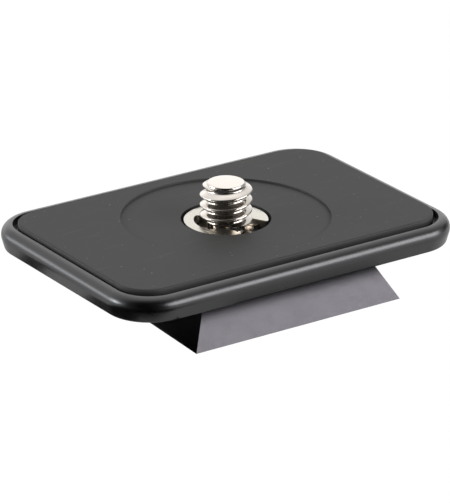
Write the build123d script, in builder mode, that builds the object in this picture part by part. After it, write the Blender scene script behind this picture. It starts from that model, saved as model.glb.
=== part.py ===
from build123d import *
import os
from math import hypot, radians, tan

# Quick release plate for a tripod head, in millimetres. +X runs along the long side, +Y points to the
# back and +Z points up. The origin is on the screw's axis, in the plane of the foot's underside.

os.makedirs("parts", exist_ok=True)

# Base plate: a flat slab with rounded corners, sides that lean in towards the bottom, a soft outer rim
# and a shallow recess for the pad. Its length, width and corner radius are those of its widest line.
plate_length = 48.0
plate_width = 33.65
plate_thickness = 2.94
plate_corner_radius = 5.85
side_draft = 15.0
rim_width = 1.4
rim_land = 0.1
underside_edge_round = 0.25
recess_depth = 0.91

# Dovetail foot under the slab, wider at the bottom on all four sides and narrower towards the back
foot_length = 29.4
foot_depth = 31.0
foot_height = 5.47
foot_flank_angle = 62.5
foot_end_taper = 3.0

# Rubber pad glued into the recess
pad_end_gap = 0.35
pad_side_gap = 0.9
pad_stand = 0.44
pad_edge_round = 0.2
pad_disc_diameter = 25.4
pad_disc_depth = 0.25
pad_hole_clearance = 0.35

# Captive camera screw, quarter inch, with a coin slot in its head
thread_diameter = 6.35
thread_reach = 4.45
tip_diameter = 4.6
tip_length = 0.35
tip_chamfer = 0.25
thread_lead_angle = 60.0
shank_diameter = 6.9
shank_clearance = 0.08
head_diameter = 13.0
head_height = 2.9
head_edge_chamfer = 0.35
head_setback = 1.0
head_clearance = 0.35
pocket_lead_chamfer = 0.4
slot_width = 1.8
slot_depth = 1.5
screw_float = 0.3

# Retaining clip, an open ring whose prong and two jaws grip the groove under the thread
clip_diameter = 10.2
clip_thickness = 0.95
clip_arm_width = 1.2
clip_prong_width = 1.9
clip_jaw_width = 3.2
clip_jaw_angle = 50.0
clip_snap = 0.55
clip_mouth_flare = 10.0
clip_mouth_direction = -72.0
clip_crescent_round = 0.45
clip_mouth_round = 0.25
groove_diameter = 4.6
clip_fit = 0.05

# Levels above the foot's underside
rim_top = foot_height + plate_thickness
recess_floor = rim_top - recess_depth
pad_top = rim_top + pad_stand
screw_tip = pad_top + thread_reach
head_shoulder = head_setback + head_height
head_seat = head_shoulder + screw_float
clip_top = recess_floor + clip_thickness

# The rim is one full round, but for a narrow land beside the recess. The round takes this much off
# the corner where the leaning side would meet the top.
rim_round = rim_width - rim_land
rim_corner_cut = rim_round * (tan(radians(45 + side_draft / 2)) - 1)

# The pad follows the recess, and the recess follows the rim
recess_length = plate_length - 2 * rim_width
recess_width = plate_width - 2 * rim_width
recess_corner_radius = plate_corner_radius - rim_width
pad_length = recess_length - 2 * pad_end_gap
pad_width = recess_width - 2 * pad_side_gap
pad_corner_radius = recess_corner_radius - pad_end_gap

# Base plate and dovetail foot, milled from one block
with BuildPart() as base_plate:
    with BuildSketch(Plane.XY.offset(rim_top)):
        RectangleRounded(
            plate_length + 2 * rim_corner_cut,
            plate_width + 2 * rim_corner_cut,
            plate_corner_radius + rim_corner_cut,
        )
    extrude(amount=-plate_thickness, taper=side_draft)
    fillet(base_plate.edges().group_by(Axis.Z)[-1], rim_round)
    fillet(base_plate.edges().group_by(Axis.Z)[0], underside_edge_round)
    with BuildSketch(Plane.XY.offset(recess_floor)):
        RectangleRounded(recess_length, recess_width, recess_corner_radius)
    extrude(amount=recess_depth, mode=Mode.SUBTRACT)
    with BuildSketch(Plane.XY):
        Trapezoid(foot_length, foot_depth, 90 - foot_end_taper)
    extrude(amount=foot_height, taper=90 - foot_flank_angle)
    with Locations(Plane.XY.rotated((180, 0, 0))):
        CounterBoreHole(
            radius=shank_diameter / 2 + shank_clearance,
            counter_bore_radius=head_diameter / 2 + head_clearance,
            counter_bore_depth=head_seat,
        )
    chamfer(base_plate.edges().filter_by(GeomType.CIRCLE).sort_by(Axis.Z)[0], pocket_lead_chamfer)
base_plate.part.label = "base_plate"
export_step(base_plate.part, "parts/base_plate.step")

# Rubber pad with a shallow disc pressed into its top and a clear hole for the screw and its clip
with BuildPart() as rubber_pad:
    with BuildSketch(Plane.XY.offset(recess_floor)):
        RectangleRounded(pad_length, pad_width, pad_corner_radius)
    extrude(amount=recess_depth + pad_stand)
    fillet(rubber_pad.edges().group_by(Axis.Z)[-1], pad_edge_round)
    with BuildSketch(Plane.XY.offset(pad_top)):
        Circle(pad_disc_diameter / 2)
    extrude(amount=-pad_disc_depth, mode=Mode.SUBTRACT)
    Hole(clip_diameter / 2 + pad_hole_clearance)
rubber_pad.part.label = "rubber_pad"
export_step(rubber_pad.part, "parts/rubber_pad.step")

# Camera screw, turned in one piece: head, plain shank, clip groove, thread and short plain tip
thread_radius = thread_diameter / 2
tip_radius = tip_diameter / 2
thread_lead = (thread_radius - tip_radius) / tan(radians(thread_lead_angle))
groove_bottom = recess_floor - clip_fit
groove_top = clip_top + clip_fit

with BuildPart() as camera_screw:
    with BuildSketch(Plane.XZ):
        with BuildLine():
            Polyline(
                (0, head_setback),
                (head_diameter / 2, head_setback),
                (head_diameter / 2, head_shoulder),
                (shank_diameter / 2, head_shoulder),
                (shank_diameter / 2, groove_bottom),
                (groove_diameter / 2, groove_bottom),
                (groove_diameter / 2, groove_top),
                (thread_radius, groove_top),
                (thread_radius, screw_tip - tip_length - thread_lead),
                (tip_radius, screw_tip - tip_length),
                (tip_radius, screw_tip),
                (0, screw_tip),
                close=True,
            )
        make_face()
    revolve(axis=Axis.Z)
    chamfer(camera_screw.edges().group_by(Axis.Z)[-1], tip_chamfer)
    chamfer(camera_screw.edges().group_by(Axis.Z)[0], head_edge_chamfer)
    with BuildSketch(Plane.XY.offset(head_setback)):
        Rectangle(head_diameter + 2 * head_clearance, slot_width)
    extrude(amount=slot_depth, mode=Mode.SUBTRACT)
camera_screw.part.label = "camera_screw"
export_step(camera_screw.part, "parts/camera_screw.step")

# Retaining clip, stamped from sheet: an open ring with a prong, two jaws and a flared mouth
clip_outer_radius = clip_diameter / 2
clip_inner_radius = clip_outer_radius - clip_arm_width
prong_root_radius = clip_outer_radius - clip_arm_width / 2
prong_tip_radius = groove_diameter / 2 + clip_fit
mouth_half_width = groove_diameter / 2 - clip_snap
mouth_outer_half_width = mouth_half_width + clip_outer_radius * tan(radians(clip_mouth_flare))

same_radius = 0.001


def at_radius(edges, radius):
    """The edges that stand at this distance from the screw's axis."""
    return edges.filter_by(lambda edge: abs(hypot(edge.center().X, edge.center().Y) - radius) < same_radius)


with BuildPart() as retaining_clip:
    with BuildSketch(Plane.XY.offset(recess_floor).rotated((0, 0, clip_mouth_direction))):
        Circle(clip_outer_radius)
        Circle(clip_inner_radius, mode=Mode.SUBTRACT)
        with Locations(Location((0, 0), 180)):
            Rectangle(prong_root_radius, clip_prong_width, align=(Align.MIN, Align.CENTER))
        with Locations(Location((0, 0), clip_jaw_angle), Location((0, 0), -clip_jaw_angle)):
            Rectangle(prong_root_radius, clip_jaw_width, align=(Align.MIN, Align.CENTER))
        Circle(prong_tip_radius, mode=Mode.SUBTRACT)
        Polygon(
            (0, -mouth_half_width),
            (clip_outer_radius, -mouth_outer_half_width),
            (clip_outer_radius, mouth_outer_half_width),
            (0, mouth_half_width),
            align=None,
            mode=Mode.SUBTRACT,
        )
    extrude(amount=clip_thickness)
    upright_edges = retaining_clip.edges().filter_by(Axis.Z)
    fillet(at_radius(upright_edges, clip_inner_radius), clip_crescent_round)
    fillet(at_radius(upright_edges, clip_outer_radius), clip_mouth_round)
retaining_clip.part.label = "retaining_clip"
export_step(retaining_clip.part, "parts/retaining_clip.step")
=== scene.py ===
import math

import bmesh
import bpy
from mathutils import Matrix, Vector


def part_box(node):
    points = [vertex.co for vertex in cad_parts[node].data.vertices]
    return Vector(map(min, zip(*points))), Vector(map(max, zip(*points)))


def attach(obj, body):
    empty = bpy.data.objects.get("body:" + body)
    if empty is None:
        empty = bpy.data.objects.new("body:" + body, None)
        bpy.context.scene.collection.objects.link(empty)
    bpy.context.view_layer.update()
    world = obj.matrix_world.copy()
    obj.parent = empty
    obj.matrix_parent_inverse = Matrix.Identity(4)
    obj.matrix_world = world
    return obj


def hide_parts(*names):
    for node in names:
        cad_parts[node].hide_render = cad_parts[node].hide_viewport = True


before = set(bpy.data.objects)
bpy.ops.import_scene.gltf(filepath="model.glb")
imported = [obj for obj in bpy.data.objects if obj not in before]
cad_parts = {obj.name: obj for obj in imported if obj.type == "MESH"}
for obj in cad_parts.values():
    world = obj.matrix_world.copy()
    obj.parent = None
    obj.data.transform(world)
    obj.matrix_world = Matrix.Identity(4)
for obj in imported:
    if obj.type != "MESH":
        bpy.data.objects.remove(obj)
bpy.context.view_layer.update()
scene = bpy.context.scene


# Base plate
# A slab with a soft rim and a dovetail foot, milled from one block of aluminium. It is blasted fine and
# anodised black, which leaves a satin skin, and its sharp edges are only broken by tumbling.
class Value:
    """A number, colour or direction that varies over a surface: one output socket of a node."""

    def __init__(self, shader, socket):
        self.shader = shader
        self.socket = socket

    def output(self, name):
        """Another output of the same node."""
        return Value(self.shader, self.socket.node.outputs[name])

    def math(self, operation, first, second):
        return self.shader.node("ShaderNodeMath", {"operation": operation}, {0: first, 1: second})

    def __add__(self, other):
        return self.math("ADD", self, other)

    def __radd__(self, other):
        return self.math("ADD", other, self)

    def __sub__(self, other):
        return self.math("SUBTRACT", self, other)

    def __rsub__(self, other):
        return self.math("SUBTRACT", other, self)

    def __mul__(self, other):
        return self.math("MULTIPLY", self, other)

    def __rmul__(self, other):
        return self.math("MULTIPLY", other, self)

    def __pow__(self, other):
        return self.math("POWER", self, other)

    def __rpow__(self, other):
        return self.math("POWER", other, self)


class Shader:
    """The nodes of one material or of the world. It adds nodes, and links or sets their sockets."""

    def __init__(self, owner):
        owner.use_nodes = True
        self.tree = owner.node_tree

    def node(self, kind, settings=None, sockets=None, output=0):
        """Adds a node with these settings, then feeds its sockets, and gives one of its outputs."""
        made = self.tree.nodes.new(kind)
        for name, setting in (settings or {}).items():
            setattr(made, name, setting)
        self.feed(made, sockets or {})
        return Value(self, made.outputs[output])

    def feed(self, node, sockets):
        """Links what varies to these sockets of a node, and sets what is the same all over."""
        for name, value in sockets.items():
            if isinstance(value, Value):
                self.tree.links.new(value.socket, node.inputs[name])
            else:
                node.inputs[name].default_value = value

    def ramp(self, value, low, high, start=0.0, end=1.0):
        """The start below low, the end above high and a smooth step between them."""
        settings = {"interpolation_type": "SMOOTHSTEP"}
        steps = {"Value": value, "From Min": low, "From Max": high, "To Min": start, "To Max": end}
        return self.node("ShaderNodeMapRange", settings, steps)

    def mix(self, share, first, second):
        """The first colour where the share is 0 and the second where it is 1."""
        # The colour sockets share their names with others, so they are given by number
        settings = {"data_type": "RGBA"}
        return self.node("ShaderNodeMix", settings, {0: share, 6: first, 7: second}, output=2)


class Finish(Shader):
    """One material with patterns that are fixed to its piece."""

    def __init__(self, name):
        self.material = bpy.data.materials.new(name)
        super().__init__(self.material)
        self.surface = self.tree.nodes["Principled BSDF"]
        self.place = self.node("ShaderNodeTexCoord", output="Object")

    def parts(self, vector):
        """The X, Y and Z parts of a place or a direction."""
        split = self.node("ShaderNodeSeparateXYZ", sockets={"Vector": vector})
        return split, split.output("Y"), split.output("Z")

    def noise(self, size, detail=2.0, vector=None):
        """Soft random patches of about this size in metres, from 0 to 1."""
        sockets = {"Vector": vector or self.place, "Scale": 1 / size, "Detail": detail}
        return self.node("ShaderNodeTexNoise", sockets=sockets)

    def bump(self, height, depth):
        """A normal that rises by this depth in metres where the height is 1."""
        return self.node("ShaderNodeBump", sockets={"Height": height, "Distance": depth})


weld_distance = 1e-7
edge_segments = 3
sharp_edge_angle = math.radians(40)
flat_face_weight = 100


def break_edges(piece, width):
    """Rounds the sharp edges of a solid a little, as tumbling or a mould does."""
    weld = piece.modifiers.new("one_skin", "WELD")
    weld.merge_threshold = weld_distance
    bevel = piece.modifiers.new("broken_edges", "BEVEL")
    bevel.width = width
    bevel.segments = edge_segments
    bevel.limit_method = "ANGLE"
    bevel.angle_limit = sharp_edge_angle
    normals = piece.modifiers.new("even_shading", "WEIGHTED_NORMAL")
    normals.weight = flat_face_weight


def dress(piece, finish):
    """Gives a piece this finish all over."""
    piece.data.materials.clear()
    piece.data.materials.append(finish.material)


deep_black = (0.0010, 0.0010, 0.0011, 1)
faded_black = (0.0024, 0.0023, 0.0026, 1)
oxide_index = 1.68
oxide_tint = (0.975, 0.975, 1.0, 1)
oxide_roughness = 0.22
blast_grain = 0.00011
blast_depth = 0.0000012
blast_relief = 0.7
anodise_mottle = 0.0014
mottle_relief = 0.3
mottle_roughness = 0.10
handling_patch = 0.009
handling_roughness = 0.05
plate_edge_width = 0.00003

# The flanks of the foot are cut coarser than the plate and carry a thin film of dry wax
foot_top = 0.00547
foot_blend = 0.0001
foot_roughness = 0.17
cutter_grain = 0.00022
cutter_evenness = 0.5
wax_film = 0.84
wax_roughness = 0.52
wax_tint = (0.95, 0.88, 1.0, 1)

satin_black = Finish("satin_black_anodise")
grain = satin_black.noise(blast_grain, detail=3.0)
mottle = satin_black.noise(anodise_mottle, detail=4.0)
handling = satin_black.noise(handling_patch, detail=2.0)
satin = oxide_roughness + mottle_roughness * mottle + handling_roughness * handling
_, _, height = satin_black.parts(satin_black.place)
on_foot = satin_black.ramp(height, foot_top - foot_blend, foot_top, 1, 0)
coarse = foot_roughness * on_foot * (cutter_evenness + satin_black.noise(cutter_grain, detail=3.0))
satin_black.feed(
    satin_black.surface,
    {
        "Base Color": satin_black.mix(mottle, deep_black, faded_black),
        "Roughness": satin + coarse,
        "Normal": satin_black.bump(blast_relief * grain + mottle_relief * mottle, blast_depth),
        "IOR": oxide_index,
        "Specular Tint": oxide_tint,
        "Coat Weight": wax_film * on_foot,
        "Coat Roughness": wax_roughness,
        "Coat Tint": wax_tint,
    },
)

base_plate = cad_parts["base_plate"]
break_edges(base_plate, plate_edge_width)
dress(base_plate, satin_black)


# Rubber pad
# A moulded sheet of black rubber, glued into the recess of the plate, with a round disc pressed into its
# top. It is matte, with a fine grain from the mould, a faint bloom, wipe marks and specks of dust, and
# its walls carry painted light.
fresh_rubber = (0.0145, 0.0143, 0.0139, 1)
bloomed_rubber = (0.0405, 0.0397, 0.0386, 1)
rubber_index = 1.46
rubber_roughness = 0.60
bloom_roughness = 0.12
mould_grain = 0.00016
bloom_patch = 0.0032
relief_depth = 0.000006
grain_relief = 0.6
bloom_relief = 0.4
dust_relief = 0.5
disc_radius = 0.0127
pad_edge_width = 0.00005

# How much a wall, a slope and the flat top face upward
wall_upward = 0.2
slope_upward = 0.8
top_upward = 0.95

# Specks of dust and fluff, with more of them along the edge of the disc
dust_colour = (0.17, 0.166, 0.158, 1)
dust_spacing = 0.0019
dust_share = 0.3
edge_dust_width = 0.0014
edge_dust_share = 0.45
fluff_size = 0.0004
fluff_share = 0.08
speck_core = 0.06
speck_reach = 0.10

# Faint streaks along the plate, where it was wiped
wipe_width = 0.0007
wipe_stretch = (0.12, 1, 1)
wipe_start = 0.58
wipe_full = 0.78
wipe_paleness = 0.07

# Painted light: the upper part of the outer walls and the wall round the disc are painted paler than the
# moulded top, so that they look lit
lit_wall_rubber = (0.060, 0.0585, 0.0565, 1)
lit_wall_radius = 0.0124
lit_wall_blend = 0.0002
lit_wall_bottom = 0.0082
lit_wall_top = 0.0086


def axis_distance(x, y):
    """The distance from the screw's axis."""
    return (x * x + y * y) ** 0.5


pad_rubber = Finish("moulded_rubber")
grain = pad_rubber.noise(mould_grain, detail=3.0)
bloom = pad_rubber.noise(bloom_patch, detail=5.0)
x, y, z = pad_rubber.parts(pad_rubber.place)
from_axis = axis_distance(x, y)
facing = pad_rubber.node("ShaderNodeTexCoord", output="Normal")
_, _, upward = pad_rubber.parts(facing)

fluff = pad_rubber.noise(fluff_size, detail=2.0)
scattered = {"Vector": pad_rubber.place, "Scale": 1 / dust_spacing}
specks = pad_rubber.node("ShaderNodeTexVoronoi", {"voronoi_dimensions": "2D"}, scattered)
chance = pad_rubber.node("ShaderNodeSeparateColor", sockets={"Color": specks.output("Color")})
from_edge = from_axis - disc_radius
at_edge = pad_rubber.ramp(from_edge * from_edge, 0, edge_dust_width**2, 1, 0)
dusty = pad_rubber.ramp(chance, 1 - dust_share - edge_dust_share * at_edge, 1)
speck = pad_rubber.ramp(specks + fluff_share * fluff, speck_core, speck_reach, 1, 0)
dust = speck * dusty * pad_rubber.ramp(upward, slope_upward, top_upward)

stretched = {0: pad_rubber.place, 1: wipe_stretch}
along_wipe = pad_rubber.node("ShaderNodeVectorMath", {"operation": "MULTIPLY"}, stretched)
streaks = pad_rubber.noise(wipe_width, detail=3.0, vector=along_wipe)
wipe = wipe_paleness * pad_rubber.ramp(streaks, wipe_start, wipe_full)

# Painted light on the upper part of the walls that face sideways, outside the disc's radius
outside = pad_rubber.ramp(from_axis, lit_wall_radius - lit_wall_blend, lit_wall_radius)
upright = pad_rubber.ramp(upward, wall_upward, slope_upward, 1, 0)
painted_wall_light = outside * upright * pad_rubber.ramp(z, lit_wall_bottom, lit_wall_top)

rubber_colour = pad_rubber.mix(bloom, fresh_rubber, bloomed_rubber)
wiped_colour = pad_rubber.mix(wipe, rubber_colour, dust_colour)
colour_with_lit_walls = pad_rubber.mix(painted_wall_light, wiped_colour, lit_wall_rubber)
relief = grain_relief * grain + bloom_relief * bloom + dust_relief * dust
pad_rubber.feed(
    pad_rubber.surface,
    {
        "Base Color": pad_rubber.mix(dust, colour_with_lit_walls, dust_colour),
        "Roughness": rubber_roughness + bloom_roughness * bloom,
        "IOR": rubber_index,
        "Normal": pad_rubber.bump(relief, relief_depth),
    },
)

rubber_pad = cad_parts["rubber_pad"]
break_edges(rubber_pad, pad_edge_width)
dress(rubber_pad, pad_rubber)


# Retaining clip
# An open ring stamped from spring steel and nickel plated, pushed sideways into the groove of the screw.
# Its faces are bright, with the slight waves of sheet metal, and stamping has rolled its edges over.
sheet_nickel = (0.525, 0.505, 0.453, 1)
sheet_nickel_pale = (0.59, 0.56, 0.503, 1)
sheet_roughness = 0.24
sheet_wave = 0.0021
sheet_wave_depth = 0.0000022
plating_cloud = 0.0013
cloud_roughness = 0.08
clip_edge_width = 0.00014


def bright_nickel(name, marks, dull, pale, roughness):
    """Bright nickel plate over steel, between two colours. The marks give its tool lines or waves."""
    finish = Finish(name)
    cloud = finish.noise(plating_cloud, detail=3.0)
    height, depth = marks(finish)
    finish.feed(
        finish.surface,
        {
            "Base Color": finish.mix(cloud, dull, pale),
            "Metallic": 1.0,
            "Roughness": roughness + cloud_roughness * cloud,
            "Normal": finish.bump(height, depth),
        },
    )
    return finish


def sheet_waves(finish):
    """The soft unevenness of stamped and plated sheet, with its depth."""
    return finish.noise(sheet_wave, detail=1.0), sheet_wave_depth


clip_nickel = bright_nickel(
    "stamped_nickel", sheet_waves, sheet_nickel, sheet_nickel_pale, sheet_roughness
)
retaining_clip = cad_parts["retaining_clip"]
break_edges(retaining_clip, clip_edge_width)
dress(retaining_clip, clip_nickel)


# Camera screw
# A quarter inch screw turned in one piece from steel and nickel plated: a slotted head under the foot, a
# plain shank, the clip's groove, a rolled thread and a short plain tip. The clip keeps it in the plate.
screw_low, screw_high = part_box("camera_screw")
clip_low, clip_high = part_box("retaining_clip")
head_radius = screw_high.x
head_bottom = screw_low.z
head_chamfer = 0.00035
slot_width = 0.0018
slot_depth = 0.0015
shank_radius = 0.00345
clip_fit = 0.00005
groove_radius = 0.0023
groove_bottom = clip_low.z - clip_fit
groove_top = clip_high.z + clip_fit
tip_radius = 0.0023
tip_round = 0.00025
screw_tip = screw_high.z
edge_round = 0.00012

# The shoulder stays just clear of its seat when the screw floats up
head_top = 0.00388
shoulder_round = 0.00003

# A sixty degree thread, with crests that are flat for an eighth of its pitch
thread_radius = 0.003175
thread_pitch = 0.00127
flank_slope = math.sqrt(3)
crest_flat = thread_pitch / 8
crest_round = 0.00012
root_radius = 0.00240
root_round = 0.00020

# One crest of the thread passes this height at this angle round the screw
crest_height = 0.01041
crest_angle = math.radians(145.8)

# The thread runs out between these turns above that crest, under a cone that the blank was turned to
runout_start = 1.89
runout_end = 2.24
lead_bottom = 0.01266
lead_top = 0.01302

# The core narrows from the thread's root to the tip between these heights
core_bottom = 0.0123
core_top = 0.0127

columns = 144
rows_per_pitch = 32
corner_steps = 4
crease_angle = math.radians(50)


def smooth_step(value, low, high):
    """0 below low, 1 above high and a smooth rise between them."""
    share = min(max((value - low) / (high - low), 0), 1)
    return share * share * (3 - 2 * share)


def soft_min(first, second, blend):
    """The smaller of two numbers, rounded where they meet."""
    overlap = max(blend - abs(first - second), 0) / blend
    return min(first, second) - overlap * overlap * blend / 4


def soft_max(first, second, blend):
    """The larger of two numbers, rounded where they meet."""
    return -soft_min(-first, -second, blend)


def thread_surface(angle, height):
    """The screw's radius at this angle and height within the thread, whose profile runs on a helix."""
    around = (angle - crest_angle) / (2 * math.pi)
    turns = (height - crest_height) / thread_pitch - around
    crest = round(turns)
    from_crest = abs(turns - crest) * thread_pitch
    sharp_radius = thread_radius + flank_slope * (crest_flat / 2 - from_crest)
    rolled_radius = soft_min(sharp_radius, thread_radius, crest_round)
    ridge = soft_max(rolled_radius, root_radius, root_round) - root_radius
    ridge *= 1 - smooth_step(crest + around, runout_start, runout_end)
    core = root_radius - (root_radius - tip_radius) * smooth_step(height, core_bottom, core_top)
    lead_share = (height - lead_bottom) / (lead_top - lead_bottom)
    lead = thread_radius - (thread_radius - tip_radius) * lead_share
    return max(soft_min(core + ridge, lead, crest_round), tip_radius)


def ring_point(bm, radius, angle, height):
    """A new point at this radius, angle and height round the screw's axis."""
    return bm.verts.new((radius * math.cos(angle), radius * math.sin(angle), height))


def round_corner(before, corner, after, radius):
    """The points of a small round at a corner of a profile, each as a radius and a height."""
    corner = Vector(corner)
    start = corner + (Vector(before) - corner).normalized() * radius
    end = corner + (Vector(after) - corner).normalized() * radius
    shares = [step / corner_steps for step in range(corner_steps + 1)]
    return [(1 - s) ** 2 * start + 2 * s * (1 - s) * corner + s**2 * end for s in shares]


def turned_rings(bm, profile):
    """One ring of points for each radius and height of a turned profile."""
    angles = [2 * math.pi * column / columns for column in range(columns)]
    return [[ring_point(bm, radius, angle, height) for angle in angles] for radius, height in profile]


def skin(bm, rings):
    """Faces between each ring and the next."""
    for lower, upper in zip(rings, rings[1:]):
        for column in range(columns):
            after = (column + 1) % columns
            bm.faces.new((lower[column], lower[after], upper[after], upper[column]))


# The head, the shank and the groove are turned, with a small round at each corner
screw_mesh = bmesh.new()
lower_corners = [
    ((head_radius - head_chamfer, head_bottom), edge_round),
    ((head_radius, head_bottom + head_chamfer), edge_round),
    ((head_radius, head_top), edge_round),
    ((shank_radius, head_top), shoulder_round),
    ((shank_radius, groove_bottom), edge_round),
    ((groove_radius, groove_bottom), edge_round),
    ((groove_radius, groove_top), edge_round),
]
corner_places = [(0, head_bottom), *(place for place, _ in lower_corners), (thread_radius, groove_top)]
lower_profile = []
for place, (corner, radius) in enumerate(lower_corners):
    lower_profile += round_corner(corner_places[place], corner, corner_places[place + 2], radius)
lower_rings = turned_rings(screw_mesh, lower_profile)
skin(screw_mesh, lower_rings)
screw_mesh.faces.new(reversed(lower_rings[0]))

# The thread's rows follow its helix, so that each crest is one clean line, and stop at its two ends
thread_top = screw_tip - tip_round
row_count = math.ceil((thread_top - groove_top) / thread_pitch + 1) * rows_per_pitch
first_height = groove_top - thread_pitch
grid = []
for row in range(row_count + rows_per_pitch + 1):
    line = []
    for column in range(columns):
        angle = 2 * math.pi * column / columns
        helix_height = first_height + thread_pitch * (row / rows_per_pitch + column / columns)
        point_height = min(max(helix_height, groove_top), thread_top)
        line.append(ring_point(screw_mesh, thread_surface(angle, point_height), angle, point_height))
    grid.append(line)
for row in range(row_count):
    for column in range(columns):
        shift = rows_per_pitch if column == columns - 1 else 0
        after = (column + 1) % columns
        lower = (grid[row][column], grid[row + shift][after])
        upper = (grid[row + 1 + shift][after], grid[row + 1][column])
        screw_mesh.faces.new(lower + upper)
thread_bottom_ring = grid[0]
thread_top_ring = grid[row_count]
skin(screw_mesh, [lower_rings[-1], thread_bottom_ring])

# The plain tip closes the top
tip_profile = round_corner((tip_radius, groove_top), (tip_radius, screw_tip), (0, screw_tip), tip_round)
tip_rings = turned_rings(screw_mesh, tip_profile)
skin(screw_mesh, [thread_top_ring, *tip_rings])
screw_mesh.faces.new(tip_rings[-1])
bmesh.ops.remove_doubles(screw_mesh, verts=screw_mesh.verts, dist=weld_distance)
loose = [vert for vert in screw_mesh.verts if not vert.link_faces]
bmesh.ops.delete(screw_mesh, geom=loose, context="VERTS")
bmesh.ops.recalc_face_normals(screw_mesh, faces=screw_mesh.faces)


def mesh_object(name, bm):
    """A new object in the scene from finished mesh data."""
    mesh = bpy.data.meshes.new(name)
    bm.to_mesh(mesh)
    bm.free()
    made = bpy.data.objects.new(name, mesh)
    scene.collection.objects.link(made)
    return made


threaded_screw = mesh_object("threaded_screw", screw_mesh)

# The coin slot is milled across the head, by a cutter twice as long as the head is wide
slot_mesh = bmesh.new()
bmesh.ops.create_cube(slot_mesh, size=1)
cutter_size = Vector((4 * head_radius, slot_width, 2 * slot_depth))
bmesh.ops.scale(slot_mesh, vec=cutter_size, verts=slot_mesh.verts)
bmesh.ops.translate(slot_mesh, vec=(0, 0, head_bottom), verts=slot_mesh.verts)
slot_cutter = mesh_object("slot_cutter", slot_mesh)
milling = threaded_screw.modifiers.new("coin_slot", "BOOLEAN")
milling.operation = "DIFFERENCE"
milling.object = slot_cutter
bpy.context.view_layer.update()
milled = threaded_screw.evaluated_get(bpy.context.evaluated_depsgraph_get())
threaded_screw.data = bpy.data.meshes.new_from_object(milled)
threaded_screw.modifiers.clear()
bpy.data.objects.remove(slot_cutter)
threaded_screw.data.shade_smooth()
threaded_screw.data.set_sharp_from_angle(angle=crease_angle)

turned_nickel = (0.67, 0.62, 0.57, 1)
turned_nickel_pale = (0.73, 0.69, 0.635, 1)
turned_roughness = 0.07
tool_line_width = 0.00012
tool_line_depth = 0.0000003
tool_line_drift = 0.02


def tool_lines(finish):
    """The fine rings that turning and rolling leave round the screw's axis, with their depth."""
    x, y, z = finish.parts(finish.place)
    ring = {"X": axis_distance(x, y), "Y": z, "Z": tool_line_drift * x}
    around = finish.node("ShaderNodeCombineXYZ", sockets=ring)
    return finish.noise(tool_line_width, detail=3.0, vector=around), tool_line_depth


screw_nickel = bright_nickel(
    "turned_nickel", tool_lines, turned_nickel, turned_nickel_pale, turned_roughness
)
dress(threaded_screw, screw_nickel)
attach(threaded_screw, "screw")
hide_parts("camera_screw")


# Floor, light and camera
# A white table in a white light tent that is open towards the camera. A key soft box and a dim one under
# it stand in front to the right, and two low ones behind to the left.
floor_size = (3.0, 3.0)
floor_drop = 0.000005
white = (1, 1, 1, 1)


def direction(azimuth, elevation):
    """The way from the object to something at this azimuth, from the front towards +X, and elevation."""
    around = math.radians(azimuth)
    above = math.radians(elevation)
    level = math.cos(above)
    return Vector((math.sin(around) * level, -math.cos(around) * level, math.sin(above)))


def sheet(name, size, finish):
    """A flat sheet that lies just under the object and is no part of it."""
    sheet_mesh = bmesh.new()
    bmesh.ops.create_grid(sheet_mesh, x_segments=1, y_segments=1, size=0.5)
    bmesh.ops.scale(sheet_mesh, vec=(*size, 1), verts=sheet_mesh.verts)
    made = mesh_object(name, sheet_mesh)
    made.location.z = -floor_drop
    dress(made, finish)
    return made


def paper(name, patch, dark, pale, roughness, gloss=0.0, glow=0.0):
    """Paper in faint patches of this size between two greys, with its gloss and the light through it."""
    finish = Finish(name)
    colour = finish.mix(finish.noise(patch), (dark, dark, dark, 1), (pale, pale, pale, 1))
    finish.feed(
        finish.surface,
        {
            "Base Color": colour,
            "Roughness": roughness,
            "Specular IOR Level": gloss,
            "Emission Color": white,
            "Emission Strength": glow,
        },
    )
    return finish


# What the camera sees is lit through from below, so the object's shadow stays faint on it
lit_table = paper("lit_table", patch=0.2, dark=0.10, pale=0.11, roughness=0.9, glow=0.92)
floor = sheet("floor", floor_size, lit_table)
floor.visible_diffuse = False
floor.visible_glossy = False
floor.visible_shadow = False

# What the object mirrors and is lit by is plain white paper, with the object's own shadow on it
white_paper = paper("white_paper", patch=0.2, dark=0.50, pale=0.52, roughness=0.9, gloss=0.1, glow=0.36)
bounce = sheet("bounce", floor_size, white_paper)
bounce.visible_camera = False

# Black cards that the camera doesn't see keep some reflections dark. Those on the floor are painted
# shade that only the object's reflections see.
black_paper = paper("black_paper", patch=0.01, dark=0.004, pale=0.006, roughness=0.5)


def black_card(name, size, place):
    """A card that only shows in reflections."""
    card = sheet(name, size, black_paper)
    card.location = place
    card.visible_camera = False
    card.visible_diffuse = False
    return card


def painted_shade_card(name, size, place, turn=0.0):
    """A card of painted shade that lies on the floor, turned by these degrees, and throws no shadow."""
    card = black_card(name, size, (*place, 0))
    card.rotation_euler.z = math.radians(turn)
    card.visible_shadow = False


# Two lie in front of the near corner, in line with the camera, as painted shade on the floor that the
# corner mirrors
camera_azimuth = -34.21
camera_elevation = 22.25
near_wide = 0.040
near_long = 0.06
near_start = 0.0292
near_shift = -0.004
far_wide = 0.300
far_long = 0.6
far_start = 0.085
to_camera = direction(camera_azimuth, 0)
to_right = Vector((-to_camera.y, to_camera.x, 0))
near_place = to_camera * (near_start + near_long / 2) + to_right * near_shift
far_place = to_camera * (far_start + far_long / 2)
painted_shade_card("near_card", (near_wide, near_long), near_place.xy, turn=camera_azimuth)
painted_shade_card("far_card", (far_wide, far_long), far_place.xy, turn=camera_azimuth)

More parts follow.
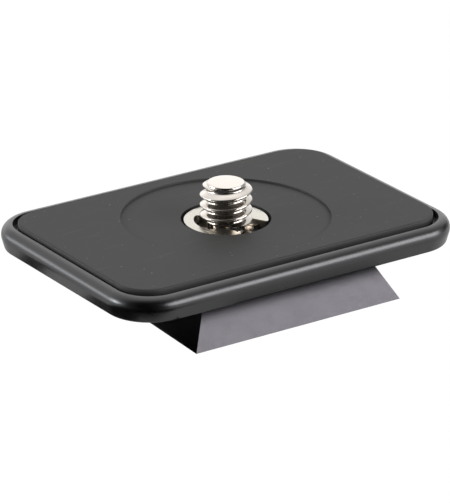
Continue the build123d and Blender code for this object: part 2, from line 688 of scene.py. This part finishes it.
# Painted shade: one lies before the foot, where its own shadow falls, four darken the floor to the left
# of the plate and one lies beside the foot's left end, under the overhang
painted_shade_card("front_card", size=(0.0215, 0.0043), place=(0.0043, -0.01765))
painted_shade_card("left_card", size=(0.0120, 0.0054), place=(-0.0296, 0.0160), turn=-26)
painted_shade_card("corner_card", size=(0.019, 0.022), place=(-0.0355, -0.0125))
painted_shade_card("side_card", size=(0.0045, 0.0085), place=(-0.0268, -0.0024))
painted_shade_card("wide_card", size=(0.150, 0.060), place=(-0.1200, -0.0280))
painted_shade_card("under_card", size=(0.0030, 0.034), place=(-0.0161, 0))

# Two stand under the overhang of the plate, and take the light from the foot's left end and from the
# top of its front
left_flag_high = 0.0053
left_flag_wide = 0.034
left_flag_place = (-0.0175, 0, left_flag_high / 2)
left_flag = black_card("left_flag", (left_flag_high, left_flag_wide), left_flag_place)
left_flag.rotation_euler.y = math.pi / 2
front_flag_high = 0.00082
front_flag_wide = 0.0305
front_flag_top = 0.00545
front_flag_place = (0.00175, -0.0162, front_flag_top - front_flag_high / 2)
front_flag = black_card("front_flag", (front_flag_wide, front_flag_high), front_flag_place)
front_flag.rotation_euler.x = math.pi / 2

light_distance = 0.5
key_tint = (1.0, 0.985, 1.0)
left_tint = (0.96, 1.0, 1.02)


def soft_box(name, azimuth, elevation, wide, high, brightness, tint):
    """A rectangular soft box that spans these angles, with its brightness against the white table."""
    light = bpy.data.lights.new(name, "AREA")
    light.shape = "RECTANGLE"
    light.size = 2 * light_distance * math.tan(math.radians(wide / 2))
    light.size_y = 2 * light_distance * math.tan(math.radians(high / 2))
    light.energy = brightness * math.pi * light.size * light.size_y
    light.color = tint
    box = bpy.data.objects.new(name, light)
    scene.collection.objects.link(box)
    towards = direction(azimuth, elevation)
    box.location = towards * light_distance
    box.rotation_mode = "QUATERNION"
    box.rotation_quaternion = towards.to_track_quat("Z", "Y")


soft_box("key_box", azimuth=37, elevation=26, wide=50, high=25, brightness=6.0, tint=key_tint)
soft_box("low_box", azimuth=37, elevation=7, wide=50, high=12, brightness=1.0, tint=key_tint)
soft_box("left_box", azimuth=-139, elevation=9, wide=26, high=14, brightness=2.35, tint=left_tint)
soft_box("corner_box", azimuth=-117, elevation=15, wide=20, high=12, brightness=13.4, tint=left_tint)

# The tent is white, fades towards the front and is open towards the camera. Each change runs between two
# cosines of the way there.
tent_white = 1.38
tent_front = 0.5
front_azimuth = 50
fade_start = 0.0
fade_end = 0.75

tent = bpy.data.worlds.new("tent")
sky = Shader(tent)
way = sky.node("ShaderNodeTexCoord", output="Generated")


def nearness(azimuth, elevation):
    """The cosine of the angle from this direction."""
    ways = {0: way, 1: direction(azimuth, elevation)}
    return sky.node("ShaderNodeVectorMath", {"operation": "DOT_PRODUCT"}, ways, output="Value")


def dimmed(azimuth, elevation, edge, middle, loss=1.0):
    """The share of the light that is left, less by this loss towards the middle of a dim part."""
    return 1 - sky.ramp(nearness(azimuth, elevation), edge, middle, 0, loss)


fade = sky.ramp(nearness(front_azimuth, 0), fade_start, fade_end, tent_white, tent_front)
opening = dimmed(camera_azimuth, camera_elevation, edge=0.02, middle=0.75)
# Two parts of it are less lit: high behind to the left, and low to the right
high_left = dimmed(azimuth=-150, elevation=34, edge=0.72, middle=0.95, loss=0.24)
low_right = dimmed(azimuth=96, elevation=6, edge=0.94, middle=0.98, loss=0.85)
strength = fade * opening * high_left * low_right
sky.feed(sky.tree.nodes["Background"], {"Color": white, "Strength": strength})
scene.world = tent
scene.view_settings.view_transform = "Standard"

# The camera looks a little below the middle of the plate's top, from the front left
camera_distance = 0.47503
camera_lens = 282.63
sensor_width = 36
aim_height = 0.0083
aim_right = -0.00012
aim_up = -0.00375

back = direction(camera_azimuth, camera_elevation)
right = Vector((-back.y, back.x, 0)).normalized()
up = back.cross(right)
aim = Vector((0, 0, aim_height)) + right * aim_right + up * aim_up
camera_data = bpy.data.cameras.new("camera")
camera_data.lens = camera_lens
camera_data.sensor_width = sensor_width
camera = bpy.data.objects.new("camera", camera_data)
scene.collection.objects.link(camera)
camera.location = aim + back * camera_distance
camera.rotation_mode = "QUATERNION"
camera.rotation_quaternion = back.to_track_quat("Z", "Y")
scene.camera = camera
